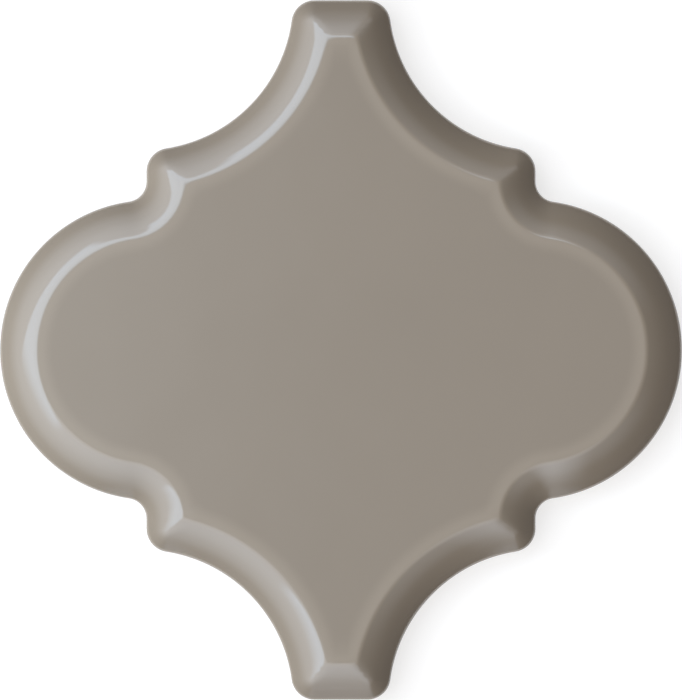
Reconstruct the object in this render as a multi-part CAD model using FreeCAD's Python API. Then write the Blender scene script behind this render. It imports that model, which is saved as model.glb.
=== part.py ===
import FreeCAD, Part
import itertools
import math
import os
from collections import namedtuple
from FreeCAD import Vector

# Arabesque wall tile: one piece of pressed, glazed and fired clay. Lengths are in millimetres, angles in
# degrees. The tile lies on its back with its glazed face up. The origin is the middle of the back,
# +Y points to the upper neck, +X to the right lobe and +Z out of the face.

# Outline: two necks with flat tips, two round lobes, and four hollows of the lobes' own radius, so that
# the lobes of the tiles next to it nest in them. A short riser joins each hollow to its lobe.
TILE_HEIGHT = 120.0  # from tip to tip of the necks
TILE_WIDTH = 117.0  # across the two lobes
NECK_WIDTH = 16.5  # between two hollows, at the tip of a neck
RISER_HEIGHT = 8.6  # from the foot of a hollow down to the top of its lobe
NECK_CORNER_RADIUS = 4.0  # at the ends of a neck's flat tip
SHOULDER_RADIUS = 4.0  # where a hollow turns down into its riser
NOTCH_RADIUS = 3.5  # where a riser turns out into its lobe

# Face: a flat panel inside a bevel that follows the outline. The bevel leaves the panel at a soft crease,
# steepens as it falls and ends at the lip, where the side wall starts.
THICKNESS = 9.0  # from the back to the flat panel
BEVEL_WIDTH = 6.2  # from the lip in to the crease
BEVEL_DROP = 4.0  # from the panel down to the lip
BEVEL_BULGE = 0.42  # of the bevel's arc above the straight line from lip to crease
CREASE_RADIUS = 2.5  # rounding of the crease
LIP_RADIUS = 0.8  # rounding of the lip
BACK_CHAMFER = 0.5  # where the side wall meets the back

# Back: upright keying grooves for the adhesive, inside a plain border. A rib lies on the middle line.
GROOVE_PITCH = 7.5
GROOVE_WIDTH = 3.2  # at the mouth
GROOVE_DEPTH = 0.8
GROOVE_WALL_LEAN = 30.0  # of a groove's side walls from upright, so that the press lets go
BACK_BORDER = 3.0  # plain margin between the outline and the grooves

# A stretch of the outline is a straight run or a bend. Runs go clockwise round the tile. A bend goes
# counterclockwise from start to end, in degrees about its centre, and swells where the tile fills its inside.
Run = namedtuple("Run", "start end")
Bend = namedtuple("Bend", "centre radius start end swells")


def at_bearing(centre, radius, angle):
    """The point of a circle at an angle counterclockwise from +X."""
    turn = math.radians(angle)
    return centre + Vector(math.cos(turn), math.sin(turn), 0) * radius


def bearing(centre, point):
    """The angle from a centre to a point, from 0 to 360."""
    return math.degrees(math.atan2(point.y - centre.y, point.x - centre.x)) % 360


def leg(hypotenuse, other_leg):
    return math.sqrt(hypotenuse**2 - other_leg**2)


def outline_stretches():
    """The tip, the lobe and the stretches between them, in the upper right quarter of the tile."""
    half_height = TILE_HEIGHT / 2
    radius = (half_height - RISER_HEIGHT) / 2  # of hollows and lobes alike
    hollow = Vector(NECK_WIDTH / 2 + radius, half_height, 0)
    lobe = Vector(TILE_WIDTH / 2 - radius, 0, 0)
    riser_x = (hollow.x + lobe.x) / 2
    rounding = min(1, RISER_HEIGHT / (SHOULDER_RADIUS + NOTCH_RADIUS))  # two roundings share the riser
    shoulder_radius = SHOULDER_RADIUS * rounding
    notch_radius = NOTCH_RADIUS * rounding

    corner = Vector(0, half_height - NECK_CORNER_RADIUS, 0)
    corner.x = hollow.x - leg(radius + NECK_CORNER_RADIUS, NECK_CORNER_RADIUS)
    shoulder = Vector(riser_x - shoulder_radius, 0, 0)
    shoulder.y = half_height - leg(radius + shoulder_radius, hollow.x - shoulder.x)
    notch = Vector(riser_x + notch_radius, 0, 0)
    notch.y = leg(radius + notch_radius, notch.x - lobe.x)

    tip = Run(Vector(-corner.x, half_height, 0), Vector(corner.x, half_height, 0))
    between = [
        Bend(corner, NECK_CORNER_RADIUS, bearing(corner, hollow), 90, True),
        Bend(hollow, radius, bearing(hollow, corner), bearing(hollow, shoulder), False),
        Bend(shoulder, shoulder_radius, 0, bearing(shoulder, hollow), True),
        Run(Vector(riser_x, shoulder.y, 0), Vector(riser_x, notch.y, 0)),
        Bend(notch, notch_radius, 180, bearing(notch, lobe), False),
    ]
    lobe_end = bearing(lobe, notch)
    return tip, between, Bend(lobe, radius, -lobe_end, lobe_end, True)


def mirrored(shape, flip_x, flip_y):
    if flip_x:
        shape = shape.mirror(Vector(), Vector(1, 0, 0))
    if flip_y:
        shape = shape.mirror(Vector(), Vector(0, 1, 0))
    return shape


def all_round(make):
    """What make gives for each stretch of the whole outline, as mirror images of one quarter's."""
    tip, between, lobe = outline_stretches()
    shapes = []
    for flip in (False, True):
        shapes.append(mirrored(make(tip), False, flip))
        shapes.append(mirrored(make(lobe), flip, False))
    for flip_x, flip_y in itertools.product((False, True), repeat=2):
        shapes += [mirrored(make(stretch), flip_x, flip_y) for stretch in between]
    return shapes


def outline_edge(stretch):
    if isinstance(stretch, Run):
        return Part.makeLine(stretch.start, stretch.end)
    angles = (stretch.start, (stretch.start + stretch.end) / 2, stretch.end)
    return Part.Arc(*[at_bearing(stretch.centre, stretch.radius, angle) for angle in angles]).toShape()


def bevel_section(reach):
    """The face that is cut away above the bevel, on XZ: X runs in from the side wall, as far as reach.

    The bevel is one arc through the lip and the crease, and a smaller arc rounds it into the panel.
    """
    half_chord = math.hypot(BEVEL_WIDTH, BEVEL_DROP) / 2
    radius = (half_chord**2 / BEVEL_BULGE + BEVEL_BULGE) / 2
    slope = math.atan2(BEVEL_DROP, BEVEL_WIDTH) - math.asin(half_chord / radius)  # at the crease
    centre = Vector(BEVEL_WIDTH + radius * math.sin(slope), 0, THICKNESS - radius * math.cos(slope))
    crease = Vector(0, 0, THICKNESS - CREASE_RADIUS)
    crease.x = centre.x - leg(radius - CREASE_RADIUS, crease.z - centre.z)
    bevel_top = centre + (crease - centre).normalize() * radius

    def on_arc(middle, arc_radius, x):
        return Vector(x, 0, middle.z + leg(arc_radius, x - middle.x))

    def arc(middle, arc_radius, start_x, end_x):
        stops = (start_x, (start_x + end_x) / 2, end_x)
        return Part.Arc(*[on_arc(middle, arc_radius, x) for x in stops]).toShape()

    outer_x = -NOTCH_RADIUS / 2  # clear of the side wall, and short of a notch's centre
    edges = [arc(centre, radius, outer_x, min(reach, bevel_top.x))]
    if reach > bevel_top.x:
        edges.append(arc(crease, CREASE_RADIUS, bevel_top.x, min(reach, crease.x)))
    inner = edges[-1].Vertexes[-1].Point
    outer = edges[0].Vertexes[0].Point
    above = THICKNESS + BEVEL_DROP  # clear of the panel
    corners = [inner, Vector(inner.x, 0, above), Vector(outer_x, 0, above), outer]
    edges += [Part.makeLine(a, b) for a, b in zip(corners, corners[1:])]
    return Part.Face(Part.Wire(edges))


def bevel_cutter(stretch):
    """The bevel's section swept along one stretch of the outline."""
    up = Vector(0, 0, 1)
    if isinstance(stretch, Run):
        along = stretch.end - stretch.start
        section = bevel_section(math.inf)
        section.rotate(Vector(), up, bearing(Vector(), along) - 90)
        section.translate(stretch.start)
        return section.extrude(along)
    section = bevel_section(stretch.radius if stretch.swells else math.inf)
    if stretch.swells:
        section = section.mirror(Vector(), Vector(1, 0, 0))
    section.translate(Vector(stretch.radius, 0, 0))
    section.rotate(Vector(), up, stretch.start)
    section.translate(stretch.centre)
    return section.revolve(stretch.centre, up, stretch.end - stretch.start)


def edges_at(solid, level):
    """The edges of a solid that lie at one height."""
    def flat(edge):
        heights = [edge.CenterOfMass.z] + [vertex.Z for vertex in edge.Vertexes]
        return all(math.isclose(height, level, abs_tol=1e-6) for height in heights)

    return [edge for edge in solid.Edges if flat(edge)]


def bevelled_slab(outline):
    """The tile with its bevel, panel and broken edges, and a plain back."""
    slab = Part.Face(outline).extrude(Vector(0, 0, THICKNESS))
    slab = slab.cut(all_round(bevel_cutter)).removeSplitter()
    slab = slab.makeFillet(LIP_RADIUS, edges_at(slab, THICKNESS - BEVEL_DROP))
    return slab.makeChamfer(BACK_CHAMFER, edges_at(slab, 0))


def groove_bar(middle_x):
    """A bar of the groove's section, as long as the tile, from well below the back to the groove's floor."""
    lean = math.tan(math.radians(GROOVE_WALL_LEAN))
    corners = []
    for level in (-GROOVE_DEPTH, GROOVE_DEPTH):
        half_width = GROOVE_WIDTH / 2 - level * lean
        sides = (middle_x - half_width, middle_x + half_width)
        corners.append([Vector(x, -TILE_HEIGHT / 2, level) for x in sides])
    (low_left, low_right), (high_left, high_right) = corners
    section = Part.Face(Part.makePolygon([low_left, low_right, high_right, high_left, low_left]))
    return section.extrude(Vector(0, TILE_HEIGHT, 0))


def keying_grooves(outline):
    """All the grooves, each as long as the border leaves room for."""
    room = TILE_WIDTH / 2 - BACK_BORDER - GROOVE_WIDTH / 2
    pairs = math.floor(room / GROOVE_PITCH + 0.5)
    bars = []
    for pair, side in itertools.product(range(pairs), (-1, 1)):
        bars.append(groove_bar(side * (pair + 0.5) * GROOVE_PITCH))
    inside = Part.Face(outline.makeOffset2D(-BACK_BORDER))
    inside.translate(Vector(0, 0, -GROOVE_DEPTH))
    return Part.makeCompound(bars).common(inside.extrude(Vector(0, 0, 2 * GROOVE_DEPTH)))


def main():
    outline = Part.Wire(Part.sortEdges(all_round(outline_edge))[0])
    tile = bevelled_slab(outline).cut(keying_grooves(outline))
    os.makedirs("parts", exist_ok=True)
    tile.Solids[0].exportStep("parts/tile.step")
    print(f"tile: {tile.Volume / 1000:.1f} cm3, {len(tile.Faces)} faces, valid {tile.isValid()}")


main()
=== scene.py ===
import math
from collections import namedtuple

import bmesh
import bpy
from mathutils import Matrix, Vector, kdtree


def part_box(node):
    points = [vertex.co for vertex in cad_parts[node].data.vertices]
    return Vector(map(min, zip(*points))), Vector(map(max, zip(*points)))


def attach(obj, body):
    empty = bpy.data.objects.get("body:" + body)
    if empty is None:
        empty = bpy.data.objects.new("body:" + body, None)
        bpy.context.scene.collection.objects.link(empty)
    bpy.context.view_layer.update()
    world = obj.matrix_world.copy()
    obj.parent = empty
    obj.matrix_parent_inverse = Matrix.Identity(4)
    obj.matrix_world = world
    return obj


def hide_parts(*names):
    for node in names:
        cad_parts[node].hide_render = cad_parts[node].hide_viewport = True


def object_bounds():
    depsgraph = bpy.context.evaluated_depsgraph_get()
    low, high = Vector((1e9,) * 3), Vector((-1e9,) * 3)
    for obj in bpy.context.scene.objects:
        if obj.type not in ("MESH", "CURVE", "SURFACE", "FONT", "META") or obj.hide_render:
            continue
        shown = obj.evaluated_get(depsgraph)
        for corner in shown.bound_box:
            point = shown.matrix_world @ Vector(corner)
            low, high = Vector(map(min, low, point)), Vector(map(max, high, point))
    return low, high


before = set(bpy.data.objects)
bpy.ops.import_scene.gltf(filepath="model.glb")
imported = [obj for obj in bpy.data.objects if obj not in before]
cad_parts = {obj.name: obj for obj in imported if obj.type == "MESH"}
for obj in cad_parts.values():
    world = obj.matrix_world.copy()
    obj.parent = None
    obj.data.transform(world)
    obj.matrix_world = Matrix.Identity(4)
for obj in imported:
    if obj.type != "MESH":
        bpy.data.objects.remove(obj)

bl_info = {
    "name": "Arabesque Tile",
    "version": (1, 0, 0),
    "blender": (4, 5, 0),
    "location": "View3D > Sidebar > Tile",
    "description": "Models a glazed arabesque wall tile and the studio that it lies in",
    "category": "Add Mesh",
}

CAD_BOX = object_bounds()
MM = 0.001  # one millimetre, in Blender's metres
WELD = 0.04 * MM  # points closer than this are one
ON_PLANE = 0.001 * MM  # a point this close to a plane lies on it
PHOTO_WIDTH = 682  # pixels
PHOTO_HEIGHT = 700
INSET = "inset_mm"  # the attribute that holds how far a point lies in from the outline
UP = Vector((0, 0, 1))


def srgb(text):
    """Turns an sRGB hex colour into linear red, green and blue."""
    shares = [int(text[i:i + 2], 16) / 255 for i in (1, 3, 5)]
    return tuple(s / 12.92 if s <= 0.04045 else ((s + 0.055) / 1.055) ** 2.4 for s in shares)


def length(name, description, millimetres):
    return bpy.props.FloatProperty(
        name=name, description=description, default=millimetres * MM, min=0, precision=5, unit="LENGTH")


def colour(name, description, text):
    return bpy.props.FloatVectorProperty(
        name=name, description=description, default=srgb(text), min=0, max=1, subtype="COLOR")


def cad_side(axis):
    """A side of the solid tile's box, in millimetres."""
    low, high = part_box("tile")
    return (high[axis] - low[axis]) / MM


class TileSizes(bpy.types.PropertyGroup):
    """The tile's sizes."""
    width: length("Width", "Across the two lobes", cad_side(0))
    height: length("Height", "From tip to tip of the necks", cad_side(1))
    thickness: length("Thickness", "From the back to the flat panel", cad_side(2))
    neck_width: length("Neck width", "Between two hollows, at the tip of a neck", 16.5)
    riser_height: length("Riser", "From the foot of a hollow down to the top of its lobe", 8.6)
    corner_radius: length("Neck corner", "Rounding at the ends of a neck's flat tip", 4.0)
    shoulder_radius: length("Shoulder", "Rounding where a hollow turns down into its riser", 4.0)
    notch_radius: length("Notch", "Rounding where a riser turns out into its lobe", 3.5)
    bevel_width: length("Bevel width", "From the lip in to the crease", 6.2)
    bevel_drop: length("Bevel drop", "From the panel down to the lip", 4.0)
    bevel_bulge: length("Bevel bulge", "Swell of the bevel over a straight slope", 0.42)
    crease_radius: length("Crease", "Rounding of the bevel into the panel", 2.5)
    lip_radius: length("Lip", "Rounding of the bevel into the side wall", 0.8)
    glaze_foot: length("Glaze foot", "Height over the back at which the glaze stops", 1.9)
    glaze_coat: length("Glaze coat", "How far the glaze stands out from the bare side wall", 0.12)
    glaze_run: length("Glaze run", "How far the glaze's lower edge wanders up and down", 1.1)
    glaze_swell: length("Glaze swell", "How deep the glaze's slow waves are", 0.03)
    back_chamfer: length("Back chamfer", "Where the side wall meets the back", 0.5)
    back_border: length("Back border", "Plain margin round the grooves", 3.0)
    groove_pitch: length("Groove pitch", "From one keying groove to the next", 7.5)
    groove_width: length("Groove width", "At the groove's mouth", 3.2)
    groove_depth: length("Groove depth", "From the back to the groove's floor", 0.8)
    groove_lean: bpy.props.FloatProperty(
        name="Groove lean", description="Lean of a groove's side walls", default=math.radians(30),
        subtype="ANGLE")


class TileColours(bpy.types.PropertyGroup):
    """The colours of the glaze and the clay."""
    panel: colour("Panel", "Glaze at its usual depth on the panel", "#9A8671")
    # Paler over the crease: partly the glaze's break, where it is thin, and partly a painted highlight along
    # the rounded crease
    crease: colour("Crease", "Glaze thinned over the crease, with the pale clay showing through", "#A48F79")
    clay: colour("Clay", "Bare fired clay", "#D9CCB6")
    clay_grit: colour("Clay grit", "Darker grit in the clay", "#B29F83")


class StudioSettings(bpy.types.PropertyGroup):
    """The floor, the light and the camera."""
    floor: colour("Floor", "Pale matt floor", "#AAA097")
    floor_glow: bpy.props.FloatProperty(
        name="Floor glow", description="Lifts the floor to white where it is seen", default=0.72, min=0)
    tent: bpy.props.FloatProperty(
        name="Tent", description="Brightest light of the tent's cloth", default=1.68, min=0)
    tent_tint: colour("Tent tint", "Faint blue of the tent", "#EAF3FF")
    softbox: bpy.props.FloatProperty(
        name="Softbox", description="Light of the large softbox overhead on the left", default=1.52, min=0)
    softbox_tint: colour("Softbox tint", "Pale blue of the softbox and the side light", "#C6E3FF")
    side_light: bpy.props.FloatProperty(
        name="Side light", description="Power of the small lamp close by on the left", default=0.38,
        subtype="POWER")
    camera_height: length("Camera height", "Over the floor, straight above the tile", 1800)


# Geometry of the outline and the section

Run = namedtuple("Run", "vector")  # a straight stretch
Bend = namedtuple("Bend", "centre angle radius")  # an arc, whose angle is positive clockwise


def leg(hypotenuse, other_leg):
    return math.sqrt(hypotenuse**2 - other_leg**2)


def bearing(start, end):
    return math.atan2(end.y - start.y, end.x - start.x)


class Outline:
    """The upper right quarter of the tile's outline, clockwise from the middle of the upper tip."""

    def __init__(self, sizes):
        top = sizes.height / 2
        self.radius = (top - sizes.riser_height) / 2  # of hollows and lobes alike
        self.hollow = Vector((sizes.neck_width / 2 + self.radius, top, 0))
        self.lobe = Vector((sizes.width / 2 - self.radius, 0, 0))
        self.riser_x = (self.hollow.x + self.lobe.x) / 2
        self.corner = Vector((0, top - sizes.corner_radius, 0))
        self.corner.x = self.hollow.x - leg(self.radius + sizes.corner_radius, sizes.corner_radius)
        self.shoulder = Vector((self.riser_x - sizes.shoulder_radius, 0, 0))
        self.shoulder.y = top - leg(self.radius + sizes.shoulder_radius, self.hollow.x - self.shoulder.x)
        self.notch = Vector((self.riser_x + sizes.notch_radius, 0, 0))
        self.notch.y = leg(self.radius + sizes.notch_radius, self.notch.x - self.lobe.x)
        self.tip = Vector((0, top, 0))
        self.notch_radius = sizes.notch_radius

    def insets(self, point):
        """How far in a point lies from the tip, from the hollow, and from the riser with its notch."""
        tip = self.tip.y - point.y
        hollow = (point.xy - self.hollow.xy).length - self.radius
        if point.y > self.notch.y:
            return tip, hollow, self.riser_x - point.x
        return tip, hollow, (point.xy - self.notch.xy).length - self.notch_radius

    def on_hollow(self, centre, radius):
        """Where the hollow touches a rounding next to it."""
        return self.hollow.lerp(centre, self.radius / (self.radius + radius))

    def neck_mitre(self, inset):
        """Where the bevels of the tip and the hollow meet, at a distance in from the outline."""
        reach = self.radius + inset
        return Vector((self.hollow.x - leg(reach, inset), self.tip.y - inset, 0))

    def shoulder_mitre(self, inset):
        """Where the bevels of the hollow and the riser meet, at a distance in from the outline."""
        x = self.riser_x - inset
        return Vector((x, self.tip.y - leg(self.radius + inset, self.hollow.x - x), 0))


class Section:
    """The arcs of the tile's rim: X is how far in from the outline, Z is the height over the back."""

    def __init__(self, sizes):
        half_chord = math.hypot(sizes.bevel_width, sizes.bevel_drop) / 2
        self.bevel_radius = (half_chord**2 / sizes.bevel_bulge + sizes.bevel_bulge) / 2
        slope = math.atan2(sizes.bevel_drop, sizes.bevel_width) - math.asin(half_chord / self.bevel_radius)
        self.bevel = Vector((sizes.bevel_width, 0, sizes.thickness))
        self.bevel += Vector((math.sin(slope), 0, -math.cos(slope))) * self.bevel_radius
        self.crease = Vector((0, 0, sizes.thickness - sizes.crease_radius))
        crease_reach = self.bevel_radius - sizes.crease_radius
        self.crease.x = self.bevel.x - leg(crease_reach, self.crease.z - self.bevel.z)
        self.lip = Vector((sizes.lip_radius, 0, 0))
        self.lip.z = self.bevel.z + leg(self.bevel_radius - sizes.lip_radius, self.bevel.x - self.lip.x)
        self.lip_radius = sizes.lip_radius
        self.crease_radius = sizes.crease_radius

    def turn(self, centre):
        """How far the section has turned from the upright wall where the bevel meets an arc."""
        return math.atan2(centre.z - self.bevel.z, self.bevel.x - centre.x)

    def height(self, inset):
        """The height over the back at a distance in from the outline."""
        centre, radius = self.bevel, self.bevel_radius
        if inset < centre.x - radius * math.cos(self.turn(self.lip)):
            centre, radius = self.lip, self.lip_radius
        elif inset > centre.x - radius * math.cos(self.turn(self.crease)):
            centre, radius = self.crease, self.crease_radius
        return centre.z + leg(radius, max(centre.x - inset, 0))


def rounded_least(pair, blend):
    """The lesser of two lengths, or a little less where they differ by less than blend."""
    overlap = max(blend - abs(pair[0] - pair[1]), 0)
    return min(pair) - overlap**2 / (4 * blend)


# Editing by operator

def pick(*objects):
    """Selects some objects, and nothing else, and makes the first of them the active one."""
    bpy.ops.object.select_all(action="DESELECT")
    for item in objects:
        item.select_set(True)
    bpy.context.view_layer.objects.active = objects[0]


def edit_mode():
    bpy.ops.object.mode_set(mode="EDIT")


def object_mode():
    bpy.ops.object.mode_set(mode="OBJECT")


def select(kind, test):
    """Selects the points, edges or faces that pass a test, and nothing else, and says how many there are."""
    bpy.ops.mesh.select_mode(type=kind)
    bpy.ops.mesh.select_all(action="DESELECT")
    mesh = bmesh.from_edit_mesh(bpy.context.edit_object.data)
    parts = {"VERT": mesh.verts, "EDGE": mesh.edges, "FACE": mesh.faces}[kind]
    found = [part for part in parts if test(part)]
    for part in found:
        part.select_set(True)
    mesh.select_flush_mode()
    return len(found)


def extrude(vector):
    bpy.ops.mesh.extrude_region_move(TRANSFORM_OT_translate={"value": vector})


def spin(centre, axis, angle, steps):
    bpy.ops.mesh.spin(steps=steps, angle=angle, center=centre, axis=axis)


def bisect(point, normal, **clear):
    bpy.ops.mesh.bisect(plane_co=point, plane_no=normal, threshold=ON_PLANE, **clear)


def apply_modifier(kind, **settings):
    bpy.ops.object.modifier_add(type=kind)
    modifier = bpy.context.object.modifiers[-1]
    for name, value in settings.items():
        setattr(modifier, name, value)
    bpy.ops.object.modifier_apply(modifier=modifier.name)


# The tile's mesh

LIP_STEPS = 6
BEVEL_STEPS = 16
CREASE_STEPS = 7
SWEEP_STEP = 0.8 * MM  # longest face along the outline
SWEEP_TURN = math.radians(8)  # most that a bend turns from one face to the next
APRON = 0.25 * MM  # flat ring round the panel, which keeps the panel's shading level
PANEL_GRID = 2 * MM  # side of a cell of the panel
MITRE_BLEND = 1.2 * MM  # how far the rounding of a mitre reaches into the two bevels


def bead_height(sizes):
    """The height of the rolled edge that the glaze ends in."""
    return sizes.glaze_coat * 3 / 2


def draw_section(sizes):
    """Draws the rim's section on XZ as one chain of edges: the outline at X = 0, the tile at X < 0."""
    section = Section(sizes)
    wall = section.lip.z - sizes.glaze_foot
    bpy.ops.object.select_all(action="DESELECT")
    bpy.ops.mesh.primitive_plane_add(
        size=wall, location=(-wall / 2, 0, sizes.glaze_foot + wall / 2), rotation=(math.pi / 2, 0, 0))
    bpy.ops.object.transform_apply(location=True, rotation=True, scale=True)
    edit_mode()
    select("VERT", lambda v: v.co.x < -wall / 2)
    bpy.ops.mesh.delete(type="VERT")

    # Up from the side wall: lip, bevel, crease and the rim of the panel
    select("VERT", lambda v: v.co.z > section.lip.z - ON_PLANE)
    across = Vector((0, 1, 0))
    lip_turn = section.turn(section.lip)
    crease_turn = section.turn(section.crease)
    mirror_x = Vector((-1, 1, 1))
    spin(section.lip * mirror_x, across, lip_turn, LIP_STEPS)
    spin(section.bevel * mirror_x, across, crease_turn - lip_turn, BEVEL_STEPS)
    spin(section.crease * mirror_x, across, math.pi / 2 - crease_turn, CREASE_STEPS)
    extrude((-APRON, 0, 0))

    # Down from it: the glaze's rolled edge, the bare wall, the chamfer and the border of the back
    select("VERT", lambda v: v.co.z < sizes.glaze_foot + ON_PLANE)
    coat = sizes.glaze_coat
    extrude((-coat / 4, 0, -coat))
    extrude((-coat * 3 / 4, 0, -coat / 2))
    extrude((0, 0, sizes.back_chamfer - coat - (sizes.glaze_foot - bead_height(sizes))))
    extrude((coat - sizes.back_chamfer, 0, coat - sizes.back_chamfer))
    extrude((sizes.back_chamfer - sizes.back_border, 0, 0))

    # A point where each rounded corner of the outline closes, as seen from inside
    for closing in {sizes.corner_radius, sizes.shoulder_radius}:
        bpy.ops.mesh.select_all(action="SELECT")
        bisect((-closing, 0, 0), (1, 0, 0))
    object_mode()
    return bpy.context.object


def sweep(section, start, outward, stretches, reach=None):
    """Sweeps a copy of the section from a point of the outline along some stretches of it.

    Where there is a reach, the copy ends that far in from the outline.
    """
    pick(section)
    bpy.ops.object.duplicate()
    strip = bpy.context.object
    if reach:
        edit_mode()
        select("VERT", lambda v: v.co.x < -reach - ON_PLANE)
        bpy.ops.mesh.delete(type="VERT")
        object_mode()
    strip.location = start
    strip.rotation_euler.z = outward
    bpy.ops.object.transform_apply(location=True, rotation=True, scale=True)
    edit_mode()
    bpy.ops.mesh.select_all(action="SELECT")
    for stretch in stretches:
        if isinstance(stretch, Run):
            steps = math.ceil(stretch.vector.length / SWEEP_STEP)
            for _ in range(steps):
                extrude(stretch.vector / steps)
        else:
            steps = max(stretch.radius * abs(stretch.angle) / SWEEP_STEP, abs(stretch.angle) / SWEEP_TURN)
            spin(stretch.centre, UP, stretch.angle, math.ceil(steps))
    object_mode()
    return strip


def trim(strip, low, high, keep, levels):
    """Cuts a strip along a mitre from low to high and keeps the side that keep is on.

    Levels are the heights of the rings that all strips share.
    """
    normal = (high - low).cross(UP).normalized()
    if normal.dot(keep - low) > 0:
        normal.negate()
    pick(strip)
    edit_mode()
    bpy.ops.mesh.select_all(action="SELECT")
    bisect(low, normal, clear_outer=True)

    def stray(vert):
        """A point of the mitre on no ring of the rim, so that the other strip has none to meet it."""
        on_mitre = abs(normal.dot(vert.co - low)) < ON_PLANE * 2
        return on_mitre and vert.is_boundary and min(abs(vert.co.z - z) for z in levels) > ON_PLANE

    if select("VERT", stray):
        bpy.ops.mesh.dissolve_verts()
    object_mode()


def sweep_rim(sizes):
    """Sweeps the section round a quarter of the outline, mitred at the two rounded corners."""
    outline = Outline(sizes)
    section = draw_section(sizes)
    heights = [v.co.z for v in section.data.vertices if v.co.z > sizes.glaze_foot]
    levels = sorted({round(height / ON_PLANE) * ON_PLANE for height in heights})
    neck_turn = math.pi / 2 - bearing(outline.corner, outline.hollow)
    hollow_turn = bearing(outline.hollow, outline.shoulder) - bearing(outline.hollow, outline.corner)
    shoulder_turn = bearing(outline.shoulder, outline.hollow)
    lobe_turn = bearing(outline.lobe, outline.notch)
    neck_end = Vector((outline.corner.x, outline.tip.y, 0))
    hollow_start = outline.on_hollow(outline.corner, sizes.corner_radius)
    hollow_end = outline.on_hollow(outline.shoulder, sizes.shoulder_radius)
    riser = Vector((0, outline.notch.y - outline.shoulder.y, 0))

    tip = sweep(section, outline.tip, math.pi / 2, [Run(neck_end - outline.tip)])
    corner = sweep(section, neck_end, math.pi / 2,
                   [Bend(outline.corner, neck_turn, sizes.corner_radius)], sizes.corner_radius)
    hollow = sweep(section, hollow_start, math.pi / 2 - neck_turn,
                   [Bend(outline.hollow, -hollow_turn, outline.radius)])
    shoulder = sweep(section, hollow_end, shoulder_turn,
                     [Bend(outline.shoulder, shoulder_turn, sizes.shoulder_radius)], sizes.shoulder_radius)
    flank = sweep(section, Vector((outline.riser_x, outline.shoulder.y, 0)), 0,
                  [Run(riser), Bend(outline.notch, -lobe_turn, sizes.notch_radius),
                   Bend(outline.lobe, lobe_turn, outline.radius)])

    neck_mitre = [outline.neck_mitre(inset) for inset in (sizes.corner_radius, sizes.bevel_width)]
    shoulder_mitre = [outline.shoulder_mitre(inset) for inset in (sizes.shoulder_radius, sizes.bevel_width)]
    trim(tip, *neck_mitre, outline.tip, levels)
    trim(hollow, *neck_mitre, hollow_end, levels)
    trim(hollow, *shoulder_mitre, hollow_start, levels)
    trim(flank, *shoulder_mitre, outline.notch, levels)

    pick(section)
    bpy.ops.object.delete()
    pick(tip, corner, hollow, shoulder, flank)
    bpy.ops.object.join()
    edit_mode()
    # The points are welded in an order set by place, so that each run welds the same ones
    select("VERT", lambda v: v.is_boundary)
    bpy.ops.mesh.sort_elements(type="CURSOR_DISTANCE", elements={"VERT"})
    bpy.ops.mesh.remove_doubles(threshold=WELD)
    object_mode()
    return tip


def soften_mitres(quarter, sizes):
    """Rounds the mitres over, as the glaze does, by lowering the points near them."""
    outline = Outline(sizes)
    section = Section(sizes)

    def drop(point):
        """How far a point stands over the rounded mitres."""
        tip, hollow, riser = outline.insets(point)
        pairs = ((tip, hollow), (hollow, riser))
        return point.z - min(section.height(rounded_least(pair, MITRE_BLEND)) for pair in pairs)

    drops = {v.index: drop(v.co) for v in quarter.data.vertices if v.co.z > section.lip.z}
    deepest = max(drops.values())
    group = quarter.vertex_groups.new(name="mitres")
    for index, depth in drops.items():
        group.add([index], max(depth, 0) / deepest, "REPLACE")
    apply_modifier("DISPLACE", direction="Z", vertex_group=group.name, strength=-deepest, mid_level=0)


def close_tile(sizes):
    """Mirrors the quarter rim into a whole one and fills its panel and its back."""
    apply_modifier("MIRROR", use_axis=(True, True, False), merge_threshold=WELD)
    edit_mode()
    for level in (0, sizes.thickness):
        select("EDGE", lambda e: e.is_boundary and all(abs(v.co.z - level) < WELD for v in e.verts))
        bpy.ops.mesh.edge_face_add()
    bpy.ops.mesh.select_all(action="SELECT")
    bpy.ops.mesh.normals_make_consistent(inside=False)
    object_mode()


def spaced(low, high, step):
    """Places a whole number of even steps apart, at most step each, between two limits."""
    count = math.ceil((high - low) / step)
    return [low + (high - low) * i / count for i in range(1, count)]


def cut_widest_face(level, planes):
    """Cuts the largest face at a height along upright planes, and hides every other face.

    A plane is an axis and the place where the plane crosses it.
    """
    mesh = bmesh.from_edit_mesh(bpy.context.edit_object.data)
    level_faces = [f for f in mesh.faces if abs(f.calc_center_median().z - level) < WELD]
    widest = max(level_faces, key=lambda f: f.calc_area())
    select("FACE", lambda f: f == widest)
    bpy.ops.mesh.hide(unselected=True)
    for axis, place in planes:
        normal = Vector((axis == "X", axis == "Y", 0))
        bpy.ops.mesh.select_all(action="SELECT")
        bisect(normal * place, normal)


def cut_panel(sizes):
    """Cuts the panel into a grid, so that it can take the glaze's waves and its shades of colour."""
    planes = [("X", place) for place in spaced(-sizes.width / 2, sizes.width / 2, PANEL_GRID)]
    planes += [("Y", place) for place in spaced(-sizes.height / 2, sizes.height / 2, PANEL_GRID)]
    edit_mode()
    cut_widest_face(sizes.thickness, planes)
    bpy.ops.mesh.reveal(select=False)
    object_mode()


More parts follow.
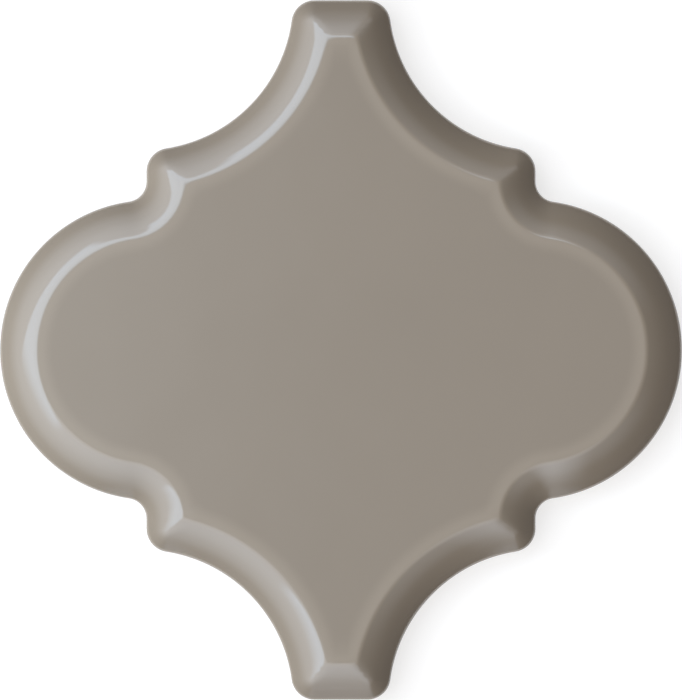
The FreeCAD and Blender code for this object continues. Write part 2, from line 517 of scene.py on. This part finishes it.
def key_back(sizes):
    """Presses the keying grooves into the back, either side of a rib on the middle line."""
    room = sizes.width / 2 - sizes.back_border - sizes.groove_width / 2
    pairs = math.floor(room / sizes.groove_pitch + 0.5)
    places = [side * (pair + 0.5) * sizes.groove_pitch for pair in range(pairs) for side in (-1, 1)]
    half_width = sizes.groove_width / 2
    floor_share = 1 - math.tan(sizes.groove_lean) * sizes.groove_depth / half_width
    edit_mode()
    cut_widest_face(0, [("X", place + side) for place in places for side in (-half_width, half_width)])
    for place in places:
        def in_groove(face):
            return not face.hide and all(abs(v.co.x - place) < half_width + ON_PLANE for v in face.verts)
        select("FACE", in_groove)
        extrude((0, 0, sizes.groove_depth))
        bpy.ops.transform.resize(value=(floor_share, 1, 1), center_override=(place, 0, 0))
    bpy.ops.mesh.reveal(select=False)
    object_mode()


# The tile's finishes

SMOOTH_ANGLE = math.radians(35)  # edges that turn more than this stay sharp
RUN_SIZE = 9 * MM  # from one run of the glaze's lower edge to the next, about
SWELL_SIZE = 16 * MM  # from one wave of the face's glaze to the next, about


def add_node(tree, kind, inputs=None, links=None, **settings):
    """Adds a node with its settings, its inputs' values and the sockets that feed them."""
    node = tree.nodes.new(kind)
    for name, value in settings.items():
        setattr(node, name, value)
    for socket, value in (inputs or {}).items():
        node.inputs[socket].default_value = value
    for socket, source in (links or {}).items():
        tree.links.new(source, node.inputs[socket])
    return node


def new_material(name):
    material = bpy.data.materials.new(name)
    material.use_nodes = True
    material.node_tree.nodes.clear()
    return material, material.node_tree


def set_ramp(ramp, stops, interpolation="EASE"):
    """Gives a colour ramp its stops, as pairs of a place and a linear colour."""
    ramp.interpolation = interpolation
    while len(ramp.elements) < len(stops):
        ramp.elements.new(1)
    for element, (place, tone) in zip(ramp.elements, stops):
        element.position = place
        element.color = (*tone, 1)


def glossy_greige_glaze(colours):
    """Glossy glaze fired on pressed clay.

    It gives the eye sharp reflections in slow waves, from a clear skin over the colour. Its colour is paler
    in a band over the crease and the panel's edge: partly the glaze's break, where it is thin and the clay
    shows through, and partly a painted highlight along the crease.
    """
    material, tree = new_material("glossy_greige_glaze")
    wave_size = 9 * MM
    wave_depth = 0.02 * MM
    cloud_size = 22 * MM
    ramp_end = 12.0  # millimetres in from the outline, of which the ramp's stops are shares
    place = add_node(tree, "ShaderNodeTexCoord").outputs["Object"]
    inset = add_node(tree, "ShaderNodeAttribute", attribute_name=INSET).outputs["Fac"]
    share = add_node(tree, "ShaderNodeMapRange", {"From Max": ramp_end}, {"Value": inset}).outputs["Result"]
    # A paler band from 5.5 to 9.4 mm in: partly the glaze's break over the crease, partly a painted highlight
    # along it
    depth = add_node(tree, "ShaderNodeValToRGB", links={"Fac": share})
    panel, crease = tuple(colours.panel), tuple(colours.crease)
    set_ramp(depth.color_ramp, [(0.46, panel), (0.54, crease), (0.58, crease), (0.78, panel)])
    clouds = add_node(tree, "ShaderNodeTexNoise", {"Scale": 1 / cloud_size, "Detail": 3}, {"Vector": place})
    value = add_node(tree, "ShaderNodeMapRange", {"To Min": 0.97, "To Max": 1.03},
                     {"Value": clouds.outputs["Fac"]})
    tint = add_node(tree, "ShaderNodeHueSaturation",
                    links={"Color": depth.outputs["Color"], "Value": value.outputs["Result"]})
    waves = add_node(tree, "ShaderNodeTexNoise", {"Scale": 1 / wave_size, "Detail": 1}, {"Vector": place})
    bump = add_node(tree, "ShaderNodeBump", {"Strength": 0.5, "Distance": wave_depth},
                    {"Height": waves.outputs["Fac"]})
    shader = add_node(tree, "ShaderNodeBsdfPrincipled", {"Roughness": 0.07, "IOR": 1.75, "Coat Weight": 0.8},
                      {"Base Color": tint.outputs["Color"], "Normal": bump.outputs["Normal"]})
    add_node(tree, "ShaderNodeOutputMaterial", links={"Surface": shader.outputs["BSDF"]})
    return material


def bare_fired_clay(colours):
    """Pale clay pressed from granules and fired without glaze, dead matt, with fine darker grit."""
    material, tree = new_material("bare_fired_clay")
    grit_size = 0.7 * MM
    grit_depth = 0.08 * MM
    cloud_size = 14 * MM
    place = add_node(tree, "ShaderNodeTexCoord").outputs["Object"]
    grit = add_node(tree, "ShaderNodeTexNoise", {"Scale": 1 / grit_size, "Detail": 4, "Roughness": 0.7},
                    {"Vector": place})
    clouds = add_node(tree, "ShaderNodeTexNoise", {"Scale": 1 / cloud_size, "Detail": 2}, {"Vector": place})
    tones = add_node(tree, "ShaderNodeValToRGB", links={"Fac": grit.outputs["Fac"]})
    set_ramp(tones.color_ramp, [(0.25, tuple(colours.clay_grit)), (0.5, tuple(colours.clay))])
    value = add_node(tree, "ShaderNodeMapRange", {"To Min": 0.93, "To Max": 1.05},
                     {"Value": clouds.outputs["Fac"]})
    tint = add_node(tree, "ShaderNodeHueSaturation",
                    links={"Color": tones.outputs["Color"], "Value": value.outputs["Result"]})
    bump = add_node(tree, "ShaderNodeBump", {"Strength": 0.6, "Distance": grit_depth},
                    {"Height": grit.outputs["Fac"]})
    shader = add_node(tree, "ShaderNodeBsdfPrincipled", {"Roughness": 0.92},
                      {"Base Color": tint.outputs["Color"], "Normal": bump.outputs["Normal"]})
    add_node(tree, "ShaderNodeOutputMaterial", links={"Surface": shader.outputs["BSDF"]})
    return material


def measure_inset(tile, sizes):
    """Stores on each point of the mesh how far in from the outline it lies, in millimetres."""
    lip = Section(sizes).lip.z
    mesh = tile.data
    rim = [v.co.xy.to_3d() for v in mesh.vertices if abs(v.co.z - lip) < ON_PLANE]
    tree = kdtree.KDTree(len(rim))
    for index, point in enumerate(rim):
        tree.insert(point, index)
    tree.balance()
    insets = [tree.find(v.co.xy.to_3d())[2] / MM for v in mesh.vertices]
    mesh.attributes.new(INSET, "FLOAT", "POINT").data.foreach_set("value", insets)


def dress_tile(tile, sizes, colours):
    """Gives the face and the upper wall their glaze, and leaves the rest bare clay."""
    for material in (glossy_greige_glaze(colours), bare_fired_clay(colours)):
        tile.data.materials.append(material)
    glaze_edge = sizes.glaze_foot - bead_height(sizes)
    edit_mode()
    select("FACE", lambda f: all(v.co.z < glaze_edge + ON_PLANE for v in f.verts))
    tile.active_material_index = 1
    bpy.ops.object.material_slot_assign()
    object_mode()
    bpy.ops.object.shade_smooth_by_angle(angle=SMOOTH_ANGLE)


def run_glaze(sizes):
    """Lets the glaze's lower edge wander, and gives the face slow waves."""
    section = Section(sizes)
    bead = bead_height(sizes)

    def group(name, test):
        edit_mode()
        select("VERT", test)
        bpy.ops.object.vertex_group_assign_new()
        object_mode()
        made = bpy.context.object.vertex_groups[-1]
        made.name = name
        return name

    def clouds(name, size):
        texture = bpy.data.textures.new(name, "CLOUDS")
        texture.noise_scale = size
        texture.noise_depth = 1
        return texture

    edge = group("glaze_edge", lambda v: abs(v.co.z - sizes.glaze_foot + bead / 2) < bead)
    apply_modifier("DISPLACE", direction="Z", texture=clouds("glaze_run", RUN_SIZE), texture_coords="LOCAL",
                   vertex_group=edge, strength=sizes.glaze_run, mid_level=0.5)
    face = group("glazed_face", lambda v: v.co.z > section.lip.z + sizes.lip_radius)
    apply_modifier("DISPLACE", direction="NORMAL", texture=clouds("glaze_swell", SWELL_SIZE),
                   texture_coords="LOCAL", vertex_group=face, strength=sizes.glaze_swell, mid_level=1)
    bpy.ops.object.vertex_group_remove(all=True)


class AddArabesqueTile(bpy.types.Operator):
    """Models the tile in one piece: rim, panel, keyed back, glaze and bare clay"""
    bl_idname = "mesh.arabesque_tile_add"
    bl_label = "Add Tile"

    def execute(self, context):
        sizes = context.scene.tile_sizes
        tile = sweep_rim(sizes)
        soften_mitres(tile, sizes)
        close_tile(sizes)
        key_back(sizes)
        cut_panel(sizes)
        measure_inset(tile, sizes)
        dress_tile(tile, sizes, context.scene.tile_colours)
        run_glaze(sizes)
        tile.name = "glazed_tile"
        tile.data.name = tile.name
        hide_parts("tile")
        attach(tile, "root")
        return {"FINISHED"}


# The studio

def pale_floor(tone, glow_strength):
    """Matt pale floor, which the camera and reflections see as white, with the tile's shadow on it."""
    material, tree = new_material("pale_floor")
    ray = add_node(tree, "ShaderNodeLightPath")
    seen = ray.outputs["Is Camera Ray"]
    for kind in ("Is Glossy Ray", "Is Transmission Ray"):
        either = add_node(tree, "ShaderNodeMath", links={0: seen, 1: ray.outputs[kind]}, operation="MAXIMUM")
        seen = either.outputs["Value"]
    lift = add_node(tree, "ShaderNodeEmission", {"Color": (1, 1, 1, 1), "Strength": glow_strength})
    dark = add_node(tree, "ShaderNodeEmission", {"Strength": 0})
    glow = add_node(tree, "ShaderNodeMixShader",
                    links={0: seen, 1: dark.outputs["Emission"], 2: lift.outputs["Emission"]})
    matt = add_node(tree, "ShaderNodeBsdfDiffuse", {"Color": (*tone, 1)})
    both = add_node(tree, "ShaderNodeAddShader", links={0: matt.outputs["BSDF"], 1: glow.outputs["Shader"]})
    add_node(tree, "ShaderNodeOutputMaterial", links={"Surface": both.outputs["Shader"]})
    return material


FLOOR_SIZE = 16  # metres, far past the picture's edges
FLOOR_GAP = 0.05 * MM  # keeps the floor clear of the tile's back


def add_floor(tone, glow_strength):
    bpy.ops.object.select_all(action="DESELECT")
    bpy.ops.mesh.primitive_plane_add(size=FLOOR_SIZE, location=(0, 0, -FLOOR_GAP))
    floor = bpy.context.object
    floor.name = "floor"
    floor.data.materials.append(pale_floor(tone, glow_strength))


# A ramp of light: its limits, and stops that pair a place from 0 at the first limit to 1 at the last with a
# share of the light.
Ramp = namedtuple("Ramp", "low high stops")

# A wall of the tent: where it stands, its light across, from 0 opposite the wall to 1 straight towards it,
# and its light upwards, from 0 at the floor to 1 overhead.
Wall = namedtuple("Wall", "towards across up")

CARD_ACROSS = [(0.61, 0), (0.75, 0.21), (0.86, 0.28)]
CARD_UP = [(0.45, 0), (0.6, 0.65), (0.72, 1), (0.97, 1), (1, 0)]
TENT = (
    # White cloth on the left, which darkens towards the floor and round the camera
    Wall((-1, -0.15, 0), [(0.36, 0), (0.46, 0.55), (0.52, 0.7), (0.65, 0.78), (1, 1)],
         [(0, 0.12), (0.2, 0.15), (0.3, 0.42), (0.4, 0.73), (0.55, 0.92), (0.68, 1), (0.96, 0.88),
          (0.985, 0.29), (1, 0.29)]),
    # The cloth's upper edge, beside the camera
    Wall((-1, 0.1, 0), [(0.5, 0), (0.511, 0.15)], [(0.985, 0), (0.995, 1)]),
    # A pale card beyond each neck
    Wall((0, -1, 0), CARD_ACROSS, CARD_UP),
    Wall((0, 1, 0), CARD_ACROSS, CARD_UP),
    # A low white card beyond the lower neck
    Wall((0, -1, 0), [(0.965, 0), (0.985, 0.23)], [(0.5, 1), (0.7, 0)]),
    # The dim room, low all round
    Wall((1, 0, 0), [(0, 0.03), (1, 0.03)], [(0.2, 1), (0.35, 0)]),
)

# The softbox is a rectangle with soft edges, level with the floor. Its ramps run out from over the tile and
# along, in metres for each metre of its height.
SOFTBOX_TURN = math.radians(135)
SOFTBOX_OUT = Ramp(0, 2, [(0.03, 0), (0.08, 1), (0.56, 1), (0.59, 0)])
SOFTBOX_ALONG = Ramp(-2, 1, [(0.2, 0), (0.37, 1), (0.75, 1), (0.79, 0)])
SIDE_LIGHT_PLACE = Vector((-0.22, -0.01, 0.17))  # metres
SIDE_LIGHT_SIZE = 0.1  # metres


def shaded(tree, value, ramp):
    """The share of light that a ramp gives for a value."""
    place = add_node(tree, "ShaderNodeMapRange", {"From Min": ramp.low, "From Max": ramp.high},
                     {"Value": value})
    shade = add_node(tree, "ShaderNodeValToRGB", links={"Fac": place.outputs["Result"]})
    set_ramp(shade.color_ramp, [(stop, (share, share, share)) for stop, share in ramp.stops], "LINEAR")
    return shade.outputs["Color"]


def combined(tree, operation, first, second):
    node = add_node(tree, "ShaderNodeVectorMath", links={0: first, 1: second}, operation=operation)
    return node.outputs["Vector"]


def along(tree, direction, axis):
    """How far a direction goes along an axis."""
    node = add_node(tree, "ShaderNodeVectorMath", {1: axis}, {0: direction}, operation="DOT_PRODUCT")
    return node.outputs["Value"]


def wall_light(tree, direction, wall):
    across = shaded(tree, along(tree, direction, Vector(wall.towards).normalized()), Ramp(-1, 1, wall.across))
    up = shaded(tree, along(tree, direction, UP), Ramp(0, 1, wall.up))
    return combined(tree, "MULTIPLY", across, up)


def softbox_light(tree, direction):
    """The light of the softbox, whose image is the white strip along the crease."""
    out = Vector((math.cos(SOFTBOX_TURN), math.sin(SOFTBOX_TURN), 0))
    shades = []
    for axis, ramp in ((out, SOFTBOX_OUT), (out.cross(UP), SOFTBOX_ALONG)):
        reach = add_node(tree, "ShaderNodeMath", operation="DIVIDE",
                         links={0: along(tree, direction, axis), 1: along(tree, direction, UP)})
        shades.append(shaded(tree, reach.outputs["Value"], ramp))
    return combined(tree, "MULTIPLY", *shades)


def light_tent(studio):
    """The tent, the softbox and the room round the tile, which also show in its reflections."""
    world = bpy.data.worlds.new("light_tent")
    world.use_nodes = True
    tree = world.node_tree
    tree.nodes.clear()
    direction = add_node(tree, "ShaderNodeTexCoord").outputs["Generated"]
    tent, *walls = [wall_light(tree, direction, wall) for wall in TENT]
    for wall in walls:
        tent = combined(tree, "ADD", tent, wall)
    softbox = softbox_light(tree, direction)
    tinted = []
    for light, tint, strength in ((tent, studio.tent_tint, studio.tent),
                                  (softbox, studio.softbox_tint, studio.softbox)):
        node = add_node(tree, "ShaderNodeVectorMath", {1: Vector(tint) * strength}, {0: light},
                        operation="MULTIPLY")
        tinted.append(node.outputs["Vector"])
    glow = add_node(tree, "ShaderNodeBackground", links={"Color": combined(tree, "ADD", *tinted)})
    add_node(tree, "ShaderNodeOutputWorld", links={"Surface": glow.outputs["Background"]})
    return world


def add_side_light(power, tint):
    """A small lamp close by on the left, out of reflections, whose falloff shades the panel to the right."""
    bpy.ops.object.select_all(action="DESELECT")
    rotation = SIDE_LIGHT_PLACE.to_track_quat("Z", "Y").to_euler()
    bpy.ops.object.light_add(type="AREA", location=SIDE_LIGHT_PLACE, rotation=rotation)
    light = bpy.context.object
    light.name = "side_light"
    light.data.size = SIDE_LIGHT_SIZE
    light.data.energy = power
    light.data.color = tint
    light.visible_camera = False
    light.visible_glossy = False


def add_camera(height):
    """Looks straight down from afar on the tile, which fills the frame at the height of its lip."""
    low, high = CAD_BOX
    lip = (low.z + high.z) / 2
    bpy.ops.object.camera_add(location=(0, 0, height), rotation=(0, 0, 0))
    camera = bpy.context.object
    camera.name = "camera"
    frame_height = (high.x - low.x) * PHOTO_HEIGHT / PHOTO_WIDTH
    camera.data.lens = camera.data.sensor_width * (height - lip) / frame_height
    bpy.context.scene.camera = camera


class AddStudio(bpy.types.Operator):
    """Adds the pale floor, the side light, the light tent with its softbox, and the camera"""
    bl_idname = "scene.tile_studio_add"
    bl_label = "Add Studio"

    def execute(self, context):
        studio = context.scene.tile_studio
        add_floor(studio.floor, studio.floor_glow)
        add_side_light(studio.side_light, studio.softbox_tint)
        context.scene.world = light_tent(studio)
        context.scene.view_settings.view_transform = "Standard"
        add_camera(studio.camera_height)
        return {"FINISHED"}


class TilePanel(bpy.types.Panel):
    """Lists the tile's sizes and colours, the studio's settings and the two operators"""
    bl_idname = "VIEW3D_PT_arabesque_tile"
    bl_label = "Arabesque Tile"
    bl_space_type = "VIEW_3D"
    bl_region_type = "UI"
    bl_category = "Tile"

    def draw(self, context):
        for operator in (AddArabesqueTile, AddStudio):
            self.layout.operator(operator.bl_idname)
        for settings in (context.scene.tile_sizes, context.scene.tile_colours, context.scene.tile_studio):
            column = self.layout.box().column()
            for name in settings.__annotations__:
                column.prop(settings, name)


CLASSES = (TileSizes, TileColours, StudioSettings, AddArabesqueTile, AddStudio, TilePanel)
SETTINGS = {"tile_sizes": TileSizes, "tile_colours": TileColours, "tile_studio": StudioSettings}


def register():
    for cls in CLASSES:
        bpy.utils.register_class(cls)
    for name, group in SETTINGS.items():
        setattr(bpy.types.Scene, name, bpy.props.PointerProperty(type=group))


def unregister():
    for name in SETTINGS:
        delattr(bpy.types.Scene, name)
    for cls in reversed(CLASSES):
        bpy.utils.unregister_class(cls)


def main():
    register()
    bpy.ops.mesh.arabesque_tile_add()
    bpy.ops.scene.tile_studio_add()


if __name__ == "__main__":
    main()
